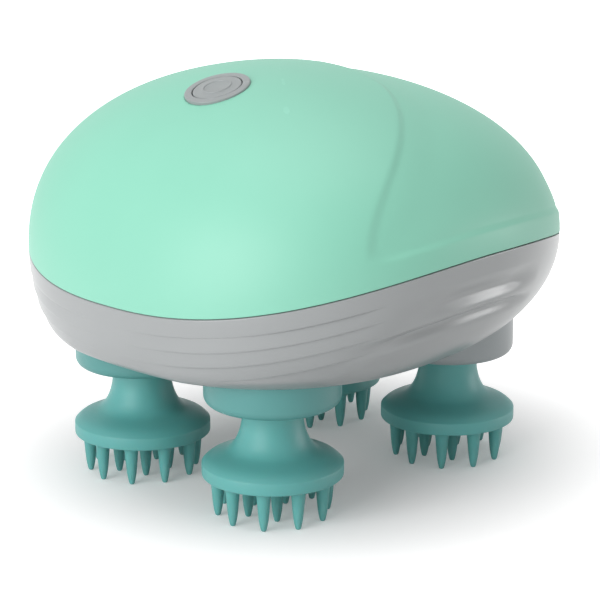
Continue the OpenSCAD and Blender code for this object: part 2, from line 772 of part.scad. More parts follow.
module gearbox_base() {
    color(grey) difference() {
        union() {
            translate([0, 0, base_z]) gearbox_plate(plate_height);
            for (s = gearbox_spots) {
                translate([s.x, s.y, base_z + 1]) cylinder(r = boss_radius, h = cover_z - base_z - 1);
            }
        }
        for (s = head_spots) translate([s.x, s.y, 0])
            cylinder(r = bush_radius + seat_gap, h = cover_z);
        for (s = wheel_spots) translate([s.x, s.y, base_z + 0.2])
            cylinder(r = axle_radius + seat_gap, h = cover_z);
        for (s = gearbox_spots) translate([s.x, s.y, 0]) cylinder(r = screw_r + 0.1, h = cover_top);
        for (s = collar_spots) {
            translate([s.x, s.y, 0]) cylinder(r = collar_screw_r + 0.1, h = cover_z);
            translate([s.x, s.y, base_z + plate_height - 1.3]) cylinder(r = 1.9, h = 3);
        }
    }
}

module gearbox_cover() {
    post_half = 4.2;
    color(grey) difference() {
        union() {
            translate([0, 0, cover_z]) gearbox_plate(cover_height);
            translate([post_x - post_thick, -post_half, cover_z + 1])
                cube([post_thick, 2 * post_half, worm_z - cover_z - 1]);
            translate([post_x - post_thick, 0, worm_z]) rotate([0, 90, 0])
                cylinder(r = post_half, h = post_thick);
        }
        for (s = head_spots) translate([s.x, s.y, cover_z - 1])
            cylinder(r = shaft_radius + running_gap, h = cover_height + 2);
        for (s = wheel_spots) translate([s.x, s.y, cover_z - 1])
            cylinder(r = hub_radius + loose_gap, h = cover_height + 2);
        for (s = gearbox_spots) translate([s.x, s.y, cover_z - 1])
            cylinder(r = screw_r + 0.1, h = cover_height + 2);
        for (side = [-1, 1]) translate([foot_x, side * foot_y, cover_z - 1])
            cylinder(r = 1 + seat_gap, h = cover_height + 2);
        translate([post_x - post_thick - 1, 0, worm_z]) rotate([0, 90, 0])
            cylinder(r = worm_bush_r + seat_gap, h = post_thick + 2);
    }
}

// ---------- Head stations ----------

// Cup that comes out through the lower shell; it hangs from the base plate and holds the seal
module collar(i, finish) {
    low = base_z - seal_height - web_height;
    pocket = seal_radius + seat_gap;
    round_r = 2;
    color(finish) difference() {
        translate(head_spots[i]) rotate_extrude() polygon(concat(
            [[neck_radius + neck_gap, collar_low]],
            [for (a = [0:30:90]) [collar_radius - round_r + round_r * sin(a),
                collar_low + round_r - round_r * cos(a)]],
            [[collar_radius, base_z], [pocket, base_z], [pocket, base_z - seal_height],
                [shaft_radius + 0.7, base_z - seal_height], [shaft_radius + 0.7, low],
                [pocket + collar_wall, low], [pocket + collar_wall, base_z - collar_web],
                [collar_radius - collar_wall, base_z - collar_web],
                [collar_radius - collar_wall, collar_low + collar_wall],
                [neck_radius + neck_gap, collar_low + collar_wall]]));
        for (k = [2 * i, 2 * i + 1]) {
            translate([collar_spots[k].x, collar_spots[k].y, base_z - 3])
                cylinder(r = collar_screw_r + seat_gap, h = 4);
        }
    }
}

module shaft_seal(s) {
    color(dark) translate([s.x, s.y, base_z - seal_height]) difference() {
        cylinder(r = seal_radius, h = seal_height - seat_gap);
        translate([0, 0, -1]) cylinder(r = shaft_radius + running_gap, h = seal_height + 2);
    }
}

module shaft_bush(s) {
    color(brass) translate([s.x, s.y, base_z + 0.01]) difference() {
        cylinder(r = bush_radius, h = plate_height + 0.3);
        translate([0, 0, -1]) cylinder(r = shaft_radius + running_gap, h = plate_height + 3);
    }
}

module output_shaft(s) {
    low = core_low + 3.6;
    color(steel) translate([s.x, s.y, low]) difference() {
        cylinder(r = shaft_radius, h = cover_top - 0.2 - low);
        translate([0, 0, -1]) cylinder(r = 1 + seat_gap, h = 5);
    }
}

// Plastic hub in the silicone head, with a bead that the head snaps over
module head_core(s) {
    color(ivory) translate([s.x, s.y, core_low]) difference() {
        union() {
            cylinder(r = core_radius, h = neck_top - core_low);
            translate([0, 0, 6]) cylinder(r = core_radius + 0.5, h = 2);
        }
        translate([0, 0, 3.5]) cylinder(r = shaft_radius + seat_gap, h = neck_top);
        translate([0, 0, -1]) cylinder(r = 1.1, h = 6);
        translate([0, 0, -1]) cylinder(r = 2.1, h = 2.6);
    }
}

module core_screw(s) {
    color(steel) translate([s.x, s.y, core_low + 1.6]) screw(5, 1, 1.9, 1.3);
}

// One finger, standing on its small flat tip
module finger(length) {
    rotate_extrude($fn = 24) polygon([[0, 0], [finger_tip_r, 0], [finger_tip_r + 0.2, 0.15],
        [finger_tip_r + 0.3, 0.45], [finger_base_r, length + 0.4], [0, length + 0.4]]);
}

// Silicone bell: neck, concave flare, rounded shoulder, rim band and fingers
module massage_head(s) {
    outer_ring = disc_radius - 3.3;
    inner_ring = disc_radius - 9.2;
    shoulder = 3.2;
    shoulder_rise = 2.6;
    shoulder_power = 1.3;
    flare = disc_radius - shoulder - neck_radius;
    rise = rim_top + shoulder_rise;
    edge = 0.4;
    draft = 0.15;
    color(teal) translate([s.x, s.y, 0]) {
        difference() {
            rotate_extrude() polygon(concat(
                [[0, disc_low], [disc_radius - draft - edge, disc_low],
                    [disc_radius - draft, disc_low + edge]],
                [for (a = [90:-22.5:0]) [disc_radius - shoulder + shoulder * sin(a),
                    rim_top + shoulder_rise * pow(cos(a), shoulder_power)]],
                [for (a = [75:-15:0])
                    [neck_radius + flare * (1 - cos(a)), neck_low - (neck_low - rise) * sin(a)]],
                [[neck_radius, neck_top], [0, neck_top]]));
            translate([0, 0, core_low - 0.02]) cylinder(r = core_radius + seat_gap, h = neck_top);
            translate([0, 0, core_low + 5.98]) cylinder(r = core_radius + 0.5 + seat_gap, h = 2.04);
        }
        for (k = [0:outer_fingers - 1]) rotate([0, 0, 360 * k / outer_fingers])
            translate([outer_ring, 0, 0]) finger(finger_length);
        for (k = [0:inner_fingers - 1]) rotate([0, 0, 360 * k / inner_fingers + 18])
            translate([inner_ring, 0, 0]) finger(finger_length);
    }
}

upper_shell();
lower_shell();
shell_gasket();
shell_screws();
button_bezel();
power_button();
button_gasket();
board_frame();
control_board();
push_switch();
board_screws();
battery();
battery_cradle();
motor();
motor_bracket();
motor_screws();
motor_shaft();
worm();
worm_bush();
gearbox_base();
gearbox_cover();
gearbox_screws();
charge_contacts();
worm_wheel(wheel_spots[0], 180 / wheel_teeth);  // left_worm_wheel
worm_wheel(wheel_spots[1], 0);  // right_worm_wheel
wheel_axles();
axle_clips();
collar_screws();
collar(0, teal);  // front_left_collar
collar(1, teal);  // front_right_collar
collar(2, grey);  // rear_left_collar
collar(3, grey);  // rear_right_collar
shaft_seal(head_spots[0]);  // front_left_seal
shaft_seal(head_spots[1]);  // front_right_seal
shaft_seal(head_spots[2]);  // rear_left_seal
shaft_seal(head_spots[3]);  // rear_right_seal
shaft_bush(head_spots[0]);  // front_left_bush
shaft_bush(head_spots[1]);  // front_right_bush
shaft_bush(head_spots[2]);  // rear_left_bush
shaft_bush(head_spots[3]);  // rear_right_bush
output_shaft(head_spots[0]);  // front_left_shaft
output_shaft(head_spots[1]);  // front_right_shaft
output_shaft(head_spots[2]);  // rear_left_shaft
output_shaft(head_spots[3]);  // rear_right_shaft
output_gear(head_spots[0]);  // front_left_gear
output_gear(head_spots[1]);  // front_right_gear
output_gear(head_spots[2]);  // rear_left_gear
output_gear(head_spots[3]);  // rear_right_gear
head_core(head_spots[0]);  // front_left_core
head_core(head_spots[1]);  // front_right_core
head_core(head_spots[2]);  // rear_left_core
head_core(head_spots[3]);  // rear_right_core
core_screw(head_spots[0]);  // front_left_core_screw
core_screw(head_spots[1]);  // front_right_core_screw
core_screw(head_spots[2]);  // rear_left_core_screw
core_screw(head_spots[3]);  // rear_right_core_screw
massage_head(head_spots[0]);  // front_left_head
massage_head(head_spots[1]);  // front_right_head
massage_head(head_spots[2]);  // rear_left_head
massage_head(head_spots[3]);  // rear_right_head
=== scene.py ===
# %% [markdown]
# # Electric scalp massager
# The real object is a palm-sized body of two moulded shells. It stands on four silicone
# heads, which a gearbox turns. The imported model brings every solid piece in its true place.
# Here we load it, dress each piece and rebuild the skins that deserve a finer surface.

import math
import bpy
import numpy as np
from mathutils import Matrix, Vector


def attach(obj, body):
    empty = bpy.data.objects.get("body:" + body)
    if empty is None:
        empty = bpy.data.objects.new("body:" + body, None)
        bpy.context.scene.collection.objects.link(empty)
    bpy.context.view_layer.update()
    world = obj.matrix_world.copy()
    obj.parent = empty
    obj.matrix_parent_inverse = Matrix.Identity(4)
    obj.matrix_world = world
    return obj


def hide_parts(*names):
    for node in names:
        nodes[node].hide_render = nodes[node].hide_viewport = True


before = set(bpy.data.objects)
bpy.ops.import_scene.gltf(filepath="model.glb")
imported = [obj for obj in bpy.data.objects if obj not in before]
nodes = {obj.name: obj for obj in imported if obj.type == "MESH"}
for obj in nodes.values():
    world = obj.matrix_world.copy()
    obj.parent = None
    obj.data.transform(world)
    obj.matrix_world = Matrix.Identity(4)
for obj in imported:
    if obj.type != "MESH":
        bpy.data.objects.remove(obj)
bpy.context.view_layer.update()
MM = 0.001
HEADS = ("front_left", "front_right", "rear_left", "rear_right")

# %% [markdown]
# ## The camera
# The massager was photographed from its front left corner, from about 15 degrees above the
# table, with a long lens that keeps the perspective mild. We fix the camera first, so that
# each later step can be compared with the picture.

# %% Camera
camera_place = Vector((-356.9, -352.0, 172.0)) * MM
camera_aim = Vector((94.57, 96.35, 0.0)) * MM
camera_data = bpy.data.cameras.new("studio_camera")
camera_data.sensor_width = 36.0
camera_data.lens = 139.94
camera_data.clip_start = 0.02
camera_data.clip_end = 20.0
camera = bpy.data.objects.new("studio_camera", camera_data)
camera.location = camera_place
camera.rotation_euler = (camera_aim - camera_place).to_track_quat("-Z", "Y").to_euler()
bpy.context.scene.collection.objects.link(camera)
bpy.context.scene.camera = camera
bpy.context.scene.view_settings.view_transform = "Standard"
print("camera at", [round(v, 4) for v in camera_place], "lens", camera_data.lens)

# %% [markdown]
# ## The rule of the body
# Both shells start from one outline, seen from above: two superellipse halves, blunt at the
# front and slimmer at the tail. The joint between the shells is a shallow arch. With these
# few formulas we can place any point of the body, so we write them once, in millimetres.
# `inset` draws a point in, which gives us recesses, steps and the wall.

# %% Outline and joint
FRONT, TAIL, HALF_WIDTH, TOP = 56.0, 61.0, 56.4, 90.3
WIDEST_X = (FRONT - TAIL) / 2
FRONT_POWER, TAIL_POWER = 2.4, 1.87
WALL = 2.2
JOINT_HALF = 0.2
JOINT_CROWN, JOINT_SAG, JOINT_MID_X = 57.6, 12.2, -0.9
KEEL_LOW, KEEL_FALL = 28.6, 3.6
REACH = 60.0
APEX_X, KEEL_X, HEAD_MID_X = -9.0, 17.0, -3.6


def ease(value, low, high):
    u = np.clip((value - low) / (high - low), 0, 1)
    return u * u * (3 - 2 * u)


def joint_height(x):
    return JOINT_CROWN - JOINT_SAG * ((x - JOINT_MID_X) / REACH) ** 2


def keel_height(x):
    return KEEL_LOW - KEEL_FALL * (x - HEAD_MID_X) / REACH


def outline(angle, inset):
    c, s = np.cos(angle), np.sin(angle)
    reach = np.where(c < 0, FRONT, TAIL) - inset
    power = np.where(c < 0, FRONT_POWER, TAIL_POWER)
    r = (np.abs(c / reach) ** power + np.abs(s / (HALF_WIDTH - inset)) ** power) ** (-1 / power)
    return WIDEST_X + r * c, r * s


print("joint height at front, crown, tail:", [round(float(joint_height(x)), 1) for x in (-58, -1, 58)])

# %% The two surfaces


def climb_power(x):
    """How fast the dome rises from its edge: slower at the front tip and at the tail."""
    return 0.99 + np.where(x < 0, 0.07, -0.11) * x / REACH


def dome_point(angle, t, inset):
    ex, ey = outline(angle, inset)
    low = joint_height(ex) + JOINT_HALF
    climb = np.sin(t) ** climb_power(ex)
    x = APEX_X + (ex - APEX_X) * np.cos(t)
    return np.stack([x, ey * np.cos(t), low + (TOP - inset - low) * climb], -1)


def dome_angle(angle, rise):
    ex, _ = outline(angle, 0)
    low = joint_height(ex) + JOINT_HALF
    return np.arcsin((rise / (TOP - low)) ** (1 / climb_power(ex)))


def hull_point(angle, t, inset):
    ex, ey = outline(angle, inset)
    high = joint_height(ex) - JOINT_HALF
    reach = np.maximum(np.cos(t), 1e-4) ** np.maximum(0.05, 0.47 + 0.44 * ex / REACH)
    x = KEEL_X + (ex - KEEL_X) * reach
    return np.stack([x, ey * reach, high + (keel_height(x) + inset - high) * np.sin(t)], -1)


def hull_angle(angle, depth):
    ex, _ = outline(angle, 0)
    high = joint_height(ex) - JOINT_HALF
    return np.arcsin(np.minimum(0.995, depth / (high - keel_height(ex))))


print("top of the dome:", dome_point(np.array([0.0]), np.pi / 2, 0)[0].round(1))

# %% [markdown]
# ## From rows of points to a closed skin
# A shell is a stack of closed loops. We walk from one pole over the outer skin, round the
# rim and along the inner skin to the other pole, so the result is one closed mesh whose
# faces all point outwards.

# %% Helpers that make pieces


def closed_skin(rows, first, last):
    columns = len(rows[0])
    points = np.concatenate([[first], *rows, [last]])
    i = np.arange(columns)
    j = (i + 1) % columns
    faces = [(0, 1 + a, 1 + b) for a, b in zip(i.tolist(), j.tolist())]
    for k in range(len(rows) - 1):
        low = 1 + k * columns
        quads = np.stack([low + i, low + columns + i, low + columns + j, low + j], 1)
        faces += [tuple(q) for q in quads.tolist()]
    low = 1 + (len(rows) - 1) * columns
    faces += [(len(points) - 1, low + b, low + a) for a, b in zip(i.tolist(), j.tolist())]
    return points, faces


def new_piece(name, points, faces, sharp=35):
    mesh = bpy.data.meshes.new(name)
    mesh.from_pydata((np.asarray(points) * MM).tolist(), [], faces)
    mesh.validate()
    mesh.polygons.foreach_set("use_smooth", [True] * len(mesh.polygons))
    mesh.set_sharp_from_angle(angle=math.radians(sharp))
    piece = bpy.data.objects.new(name, mesh)
    bpy.context.scene.collection.objects.link(piece)
    return piece


def lathe(profile, sides=96, centre=(0, 0)):
    """Closed solid of revolution from (radius, height) pairs; a closed ring if none is at the axis."""
    a = np.linspace(0, 2 * np.pi, sides, endpoint=False)
    rows = [np.stack([centre[0] + r * np.cos(a), centre[1] + r * np.sin(a), np.full(sides, z)], 1)
            for r, z in profile if r > 0]
    if profile[0][0] == 0:
        return closed_skin(rows, (*centre, profile[0][1]), (*centre, profile[-1][1]))
    points = np.concatenate(rows)
    faces = []
    for k in range(len(rows)):
        low, high = k * sides, ((k + 1) % len(rows)) * sides
        faces += [(low + i, high + i, high + (i + 1) % sides, low + (i + 1) % sides)
                  for i in range(sides)]
    return points, faces


def arc(centre_r, centre_z, radius, start, end, steps):
    turns = np.radians(np.linspace(start, end, steps))
    return [(centre_r + radius * math.cos(t), centre_z + radius * math.sin(t)) for t in turns]


def cut(piece, tool):
    """Takes the tool's volume out of the piece and removes the tool."""
    step = piece.modifiers.new("cut", "BOOLEAN")
    step.operation = "DIFFERENCE"
    step.solver = "EXACT"
    step.object = tool
    bpy.context.view_layer.update()
    shaped = bpy.data.meshes.new_from_object(piece.evaluated_get(bpy.context.evaluated_depsgraph_get()))
    piece.modifiers.clear()
    piece.data = shaped
    bpy.data.objects.remove(tool)
    return piece


def place(piece, body, slot, *replaced):
    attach(piece, body)
    if replaced:
        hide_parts(*replaced)
    return piece


print("helpers ready")

# %% [markdown]
# ## Shared effects
# Moulded plastic is never perfectly even: it has a fine spark-eroded grain, its colour
# drifts a little, and its edges polish with handling. Several finishes use these effects,
# so each is a node group that is built once and given other values in each material.

# %% Node helpers


def add(tree, kind, **values):
    node = tree.nodes.new(kind)
    for name, value in values.items():
        setattr(node, name, value)
    return node


def feed(tree, node, socket, source):
    """Links a socket, or sets it when the source is a plain value."""
    if isinstance(source, bpy.types.NodeSocket):
        tree.links.new(source, node.inputs[socket])
    else:
        node.inputs[socket].default_value = source


def new_group(name, inputs, outputs):
    group = bpy.data.node_groups.new(name, "ShaderNodeTree")
    for label, kind, value in inputs:
        socket = group.interface.new_socket(label, in_out="INPUT", socket_type=kind)
        socket.default_value = value
    for label, kind in outputs:
        group.interface.new_socket(label, in_out="OUTPUT", socket_type=kind)
    return group, add(group, "NodeGroupInput"), add(group, "NodeGroupOutput")


FLOAT, COLOUR, VECTOR = "NodeSocketFloat", "NodeSocketColor", "NodeSocketVector"


def colour(r, g, b):
    """A colour as a painter reads it off a screen, turned into the linear one that light uses."""
    return tuple(((v / 255 + 0.055) / 1.055) ** 2.4 for v in (r, g, b)) + (1.0,)


print("mint in linear light:", [round(v, 3) for v in colour(168, 232, 209)])

# %% Moulded grain
grain, g_in, g_out = new_group(
    "moulded_grain", [("Scale", FLOAT, 1500.0), ("Depth", FLOAT, 0.00003)],
    [("Normal", VECTOR), ("Mask", FLOAT)])
g_where = add(grain, "ShaderNodeTexCoord")
g_noise = add(grain, "ShaderNodeTexNoise")
g_bump = add(grain, "ShaderNodeBump")
feed(grain, g_noise, "Vector", g_where.outputs["Object"])
feed(grain, g_noise, "Scale", g_in.outputs["Scale"])
feed(grain, g_noise, "Detail", 3.0)
feed(grain, g_bump, "Height", g_noise.outputs["Fac"])
feed(grain, g_bump, "Distance", g_in.outputs["Depth"])
feed(grain, g_out, "Normal", g_bump.outputs["Normal"])
feed(grain, g_out, "Mask", g_noise.outputs["Fac"])
print("group:", grain.name)

# %% Colour drift
drift, d_in, d_out = new_group(
    "colour_drift",
    [("Colour", COLOUR, (1, 1, 1, 1)), ("Second", COLOUR, (1, 1, 1, 1)), ("Scale", FLOAT, 20.0)],
    [("Colour", COLOUR)])
d_where = add(drift, "ShaderNodeTexCoord")
d_noise = add(drift, "ShaderNodeTexNoise")
d_range = add(drift, "ShaderNodeMapRange")
d_mix = add(drift, "ShaderNodeMix", data_type="RGBA")
feed(drift, d_noise, "Vector", d_where.outputs["Object"])
feed(drift, d_noise, "Scale", d_in.outputs["Scale"])
feed(drift, d_noise, "Detail", 4.0)
feed(drift, d_range, "Value", d_noise.outputs["Fac"])
feed(drift, d_range, "From Min", 0.35)
feed(drift, d_range, "From Max", 0.65)
drift.links.new(d_range.outputs["Result"], d_mix.inputs["Factor"])
drift.links.new(d_in.outputs["Colour"], d_mix.inputs["A"])
drift.links.new(d_in.outputs["Second"], d_mix.inputs["B"])
drift.links.new(d_mix.outputs["Result"], d_out.inputs["Colour"])
print("group:", drift.name)

# %% Edge wear
wear, w_in, w_out = new_group(
    "edge_wear",
    [("Colour", COLOUR, (1, 1, 1, 1)), ("Worn", COLOUR, (1, 1, 1, 1)), ("Amount", FLOAT, 0.5)],
    [("Colour", COLOUR), ("Mask", FLOAT)])
w_shape = add(wear, "ShaderNodeNewGeometry")
w_where = add(wear, "ShaderNodeTexCoord")
w_noise = add(wear, "ShaderNodeTexNoise")
w_edge = add(wear, "ShaderNodeMapRange")
w_break = add(wear, "ShaderNodeMath", operation="MULTIPLY")
w_amount = add(wear, "ShaderNodeMath", operation="MULTIPLY")
w_mix = add(wear, "ShaderNodeMix", data_type="RGBA")
feed(wear, w_noise, "Vector", w_where.outputs["Object"])
feed(wear, w_noise, "Scale", 300.0)
feed(wear, w_edge, "Value", w_shape.outputs["Pointiness"])
feed(wear, w_edge, "From Min", 0.52)
feed(wear, w_edge, "From Max", 0.6)
wear.links.new(w_edge.outputs["Result"], w_break.inputs[0])
wear.links.new(w_noise.outputs["Fac"], w_break.inputs[1])
wear.links.new(w_break.outputs["Value"], w_amount.inputs[0])
wear.links.new(w_in.outputs["Amount"], w_amount.inputs[1])
wear.links.new(w_amount.outputs["Value"], w_mix.inputs["Factor"])
wear.links.new(w_in.outputs["Colour"], w_mix.inputs["A"])
wear.links.new(w_in.outputs["Worn"], w_mix.inputs["B"])
wear.links.new(w_mix.outputs["Result"], w_out.inputs["Colour"])
wear.links.new(w_amount.outputs["Value"], w_out.inputs["Mask"])
print("group:", wear.name)

# %% Machining lines
lines, l_in, l_out = new_group(
    "machining_lines", [("Stretch", VECTOR, (1, 1, 1)), ("Depth", FLOAT, 0.00002)],
    [("Normal", VECTOR), ("Mask", FLOAT)])
l_where = add(lines, "ShaderNodeTexCoord")
l_map = add(lines, "ShaderNodeMapping")
l_noise = add(lines, "ShaderNodeTexNoise")
l_bump = add(lines, "ShaderNodeBump")
feed(lines, l_map, "Vector", l_where.outputs["Object"])
feed(lines, l_map, "Scale", l_in.outputs["Stretch"])
feed(lines, l_noise, "Vector", l_map.outputs["Vector"])
feed(lines, l_noise, "Scale", 900.0)
feed(lines, l_noise, "Detail", 2.0)
feed(lines, l_bump, "Height", l_noise.outputs["Fac"])
feed(lines, l_bump, "Distance", l_in.outputs["Depth"])
feed(lines, l_out, "Normal", l_bump.outputs["Normal"])
feed(lines, l_out, "Mask", l_noise.outputs["Fac"])
print("group:", lines.name)

# %% [markdown]
# ## Finishes
# Plastic and silicone here share one recipe: two close colours that drift into each other,
# paler edges, a grain in the normal and a roughness that follows the grain. The metals
# have machining lines in place of the grain.

# %% Recipe for plastic, silicone and metal


def use(tree, group, **values):
    node = add(tree, "ShaderNodeGroup", node_tree=group)
    for name, value in values.items():
        feed(tree, node, name, value)
    return node


def finish(name, body, second, worn, rough, texture, depth=0.00003, scale=1500.0,
           drift_scale=22.0, amount=0.5, stretch=(1, 1, 1), **shader_values):
    material = bpy.data.materials.new(name)
    material.use_nodes = True
    tree = material.node_tree
    shader = tree.nodes["Principled BSDF"]
    tint = use(tree, drift, Colour=body, Second=second, Scale=drift_scale)
    edge = use(tree, wear, Colour=tint.outputs["Colour"], Worn=worn, Amount=amount)
    if texture is grain:
        touch = use(tree, grain, Scale=scale, Depth=depth)
    else:
        touch = use(tree, lines, Stretch=stretch, Depth=depth)
    gloss = add(tree, "ShaderNodeMapRange")
    feed(tree, gloss, "Value", touch.outputs["Mask"])
    feed(tree, gloss, "From Min", 0.3)
    feed(tree, gloss, "From Max", 0.7)
    feed(tree, gloss, "To Min", rough[0])
    feed(tree, gloss, "To Max", rough[1])
    feed(tree, shader, "Base Color", edge.outputs["Colour"])
    feed(tree, shader, "Roughness", gloss.outputs["Result"])
    feed(tree, shader, "Normal", touch.outputs["Normal"])
    for socket, value in shader_values.items():
        shader.inputs[socket.replace("_", " ")].default_value = value
    material.diffuse_color = body
    return material


print("recipe ready")

# %% Plastics and silicone
mint_plastic = finish(
    "mint_plastic", colour(138, 207, 183), colour(135, 204, 180), colour(154, 220, 199),
    (0.48, 0.52), grain, depth=0.000006, scale=2600.0, Specular_IOR_Level=0.6)
silver_plastic = finish(
    "silver_plastic", colour(152, 155, 156), colour(149, 152, 153), colour(176, 180, 181),
    (0.28, 0.3), grain, depth=0.000001, scale=2400.0, amount=0.1, Specular_IOR_Level=0.7)
button_plastic = finish(
    "button_plastic", colour(150, 156, 156), colour(146, 151, 152), colour(185, 189, 189),
    (0.34, 0.44), grain, depth=0.00001, scale=3000.0)
teal_silicone = finish(
    "teal_silicone", colour(95, 171, 167), colour(91, 166, 163), colour(126, 192, 188),
    (0.44, 0.52), grain, depth=0.000008, scale=1800.0, amount=0.4,
    Subsurface_Weight=0.12, Subsurface_Scale=0.002)
teal_plastic = finish(
    "teal_plastic", colour(86, 150, 147), colour(82, 145, 143), colour(122, 180, 177),
    (0.38, 0.48), grain, depth=0.000012, scale=2200.0)
grey_plastic = finish(
    "grey_plastic", colour(160, 166, 168), colour(155, 161, 163), colour(190, 194, 194),
    (0.34, 0.44), grain, depth=0.000012, scale=2200.0)
gearbox_plastic = finish(
    "gearbox_plastic", colour(132, 138, 141), colour(126, 132, 136), colour(160, 165, 168),
    (0.45, 0.6), grain, depth=0.00003, scale=1200.0)
ivory_plastic = finish(
    "ivory_plastic", colour(232, 228, 214), colour(226, 221, 205), colour(244, 242, 232),
    (0.35, 0.48), grain, depth=0.00002, scale=1600.0, Subsurface_Weight=0.1, Subsurface_Scale=0.001)
dark_plastic = finish(
    "dark_plastic", colour(46, 50, 53), colour(41, 45, 48), colour(80, 84, 88),
    (0.42, 0.55), grain, depth=0.00002, scale=1500.0)
dark_rubber = finish(
    "dark_rubber", colour(40, 46, 48), colour(36, 41, 43), colour(62, 68, 70),
    (0.6, 0.75), grain, depth=0.00003, scale=1300.0)
cell_wrap = finish(
    "cell_wrap", colour(70, 104, 150), colour(64, 97, 143), colour(112, 140, 178),
    (0.22, 0.34), grain, depth=0.00001, scale=800.0, Coat_Weight=0.4, Coat_Roughness=0.15)
print("materials in the file:", len(bpy.data.materials))

# %% Metals
steel = finish(
    "steel", colour(196, 199, 202), colour(188, 191, 195), colour(222, 224, 226),
    (0.22, 0.38), lines, stretch=(0.15, 1, 1), Metallic=1.0)
turned_steel = finish(
    "turned_steel", colour(200, 203, 206), colour(190, 194, 198), colour(226, 228, 230),
    (0.18, 0.32), lines, stretch=(0.1, 0.1, 2.0), Metallic=1.0)
screw_steel = finish(
    "screw_steel", colour(178, 181, 184), colour(168, 171, 175), colour(214, 216, 218),
    (0.24, 0.4), lines, stretch=(1, 1, 0.3), Metallic=1.0)
brass_metal = finish(
    "brass_metal", colour(206, 172, 104), colour(196, 160, 92), colour(230, 204, 146),
    (0.2, 0.36), lines, stretch=(1, 1, 0.2), Metallic=1.0)
print("materials in the file:", len(bpy.data.materials))

# %% [markdown]
# The control board has copper tracks under green lacquer. A fine brick pattern stands in
# for the tracks: its joints become slightly raised, brighter lines.

# %% Control board lacquer
board_lacquer = bpy.data.materials.new("board_lacquer")
board_lacquer.use_nodes = True
b_tree = board_lacquer.node_tree
b_shader = b_tree.nodes["Principled BSDF"]
b_where = add(b_tree, "ShaderNodeTexCoord")
b_tracks = add(b_tree, "ShaderNodeTexBrick")
b_bump = add(b_tree, "ShaderNodeBump")
b_tint = use(b_tree, drift, Colour=colour(34, 92, 58), Second=colour(28, 82, 50), Scale=90.0)
feed(b_tree, b_tracks, "Vector", b_where.outputs["Object"])
feed(b_tree, b_tracks, "Scale", 160.0)
feed(b_tree, b_tracks, "Mortar Size", 0.03)
feed(b_tree, b_tracks, "Color1", b_tint.outputs["Colour"])
feed(b_tree, b_tracks, "Color2", colour(30, 86, 54))
feed(b_tree, b_tracks, "Mortar", colour(92, 140, 84))
feed(b_tree, b_bump, "Height", b_tracks.outputs["Fac"])
feed(b_tree, b_bump, "Distance", 0.00004)
feed(b_tree, b_shader, "Base Color", b_tracks.outputs["Color"])
feed(b_tree, b_shader, "Normal", b_bump.outputs["Normal"])
b_shader.inputs["Roughness"].default_value = 0.25
print("board lacquer ready")

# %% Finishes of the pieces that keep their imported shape
FINISHES = {
    "shell_gasket": dark_rubber, "button_gasket": dark_rubber, "control_board": board_lacquer,
    "board_frame": ivory_plastic, "push_switch": dark_plastic, "battery": cell_wrap,
    "battery_cradle": dark_plastic, "motor": steel, "motor_bracket": steel,
    "motor_shaft": turned_steel, "worm": ivory_plastic, "worm_bush": brass_metal,
    "gearbox_base": gearbox_plastic, "gearbox_cover": gearbox_plastic,
    "charge_contacts": brass_metal, "left_worm_wheel": ivory_plastic,
    "right_worm_wheel": ivory_plastic, "wheel_axles": turned_steel, "axle_clips": steel,
    "upper_shell": mint_plastic, "lower_shell": silver_plastic,
    "button_bezel": button_plastic, "power_button": button_plastic,
}
ENDINGS = {
    "_screws": screw_steel, "_screw": screw_steel, "_shaft": turned_steel, "_bush": brass_metal,
    "_seal": dark_rubber, "_gear": ivory_plastic, "_core": ivory_plastic,
    "_head": teal_silicone, "front_left_collar": teal_plastic,
    "front_right_collar": teal_plastic, "_collar": grey_plastic,
}


def finish_of(name):
    if name in FINISHES:
        return FINISHES[name]
    return next(material for ending, material in ENDINGS.items() if name.endswith(ending))


for name, node in nodes.items():
    if not node.material_slots:
        node.data.materials.append(None)
    for material_slot in node.material_slots:
        material_slot.material = finish_of(name)
print("dressed nodes:", len(nodes))

# %% [markdown]
# ## The upper shell
# The mint dome carries a recessed tail area. Its front edge climbs the flank in an S and
# crosses the spine, and along the joint a lip band stays proud of it. On the real part this
# is one moulding, so we model it as one skin: the recess is an inset in the dome's formula,
# and the rows are dense enough for its soft edge to stay smooth.

# %% Upper shell skin
COLUMNS = 560
EDGE_SOFT, LIP_SOFT, CORNER_SOFT, LIP, RECESS = 2.4, 1.4, 2.2, 5.2, 1.0
EDGE_LOW_X, EDGE_LOW_Z, EDGE_SWEEP, EDGE_RISE = -32.6, 60.0, 38.0, 29.5
SPINE_GAIN, SPINE_LOW_Z, SPINE_HIGH_Z = 0.1, 66.3, 88.3
ring = np.linspace(-np.pi, np.pi, COLUMNS, endpoint=False)


def recess_share(p):
    """0 outside the recess, 1 deep in it and a little more near the spine: a soft step comes
    first, then a long gentle fall."""
    x, z = p[..., 0], p[..., 2]
    up = np.clip((z - EDGE_LOW_Z) / EDGE_RISE, 0, 1.1)
    from_edge = (x - EDGE_LOW_X - EDGE_SWEEP * up ** 1.9) / EDGE_SOFT
    from_lip = (z - joint_height(x) - LIP) / LIP_SOFT
    corner = np.maximum(0, CORNER_SOFT - np.abs(from_edge - from_lip))
    inside = np.minimum(from_edge, from_lip) - corner ** 2 / (4 * CORNER_SOFT)
    share = 0.45 * ease(inside, -0.5, 0.5) + 0.55 * ease(inside, -0.5, 5)
    return share * (1 + SPINE_GAIN * ease(z, SPINE_LOW_Z, SPINE_HIGH_Z))


def dome_row(t):
    return dome_point(ring, t, RECESS * recess_share(dome_point(ring, t, 0)))


def rim_row(inset, away):
    """A row at the joint: away from the joint's middle, up for plus and down for minus."""
    x, y = outline(ring, inset)
    return np.stack([x, y, joint_height(x) + away], -1)


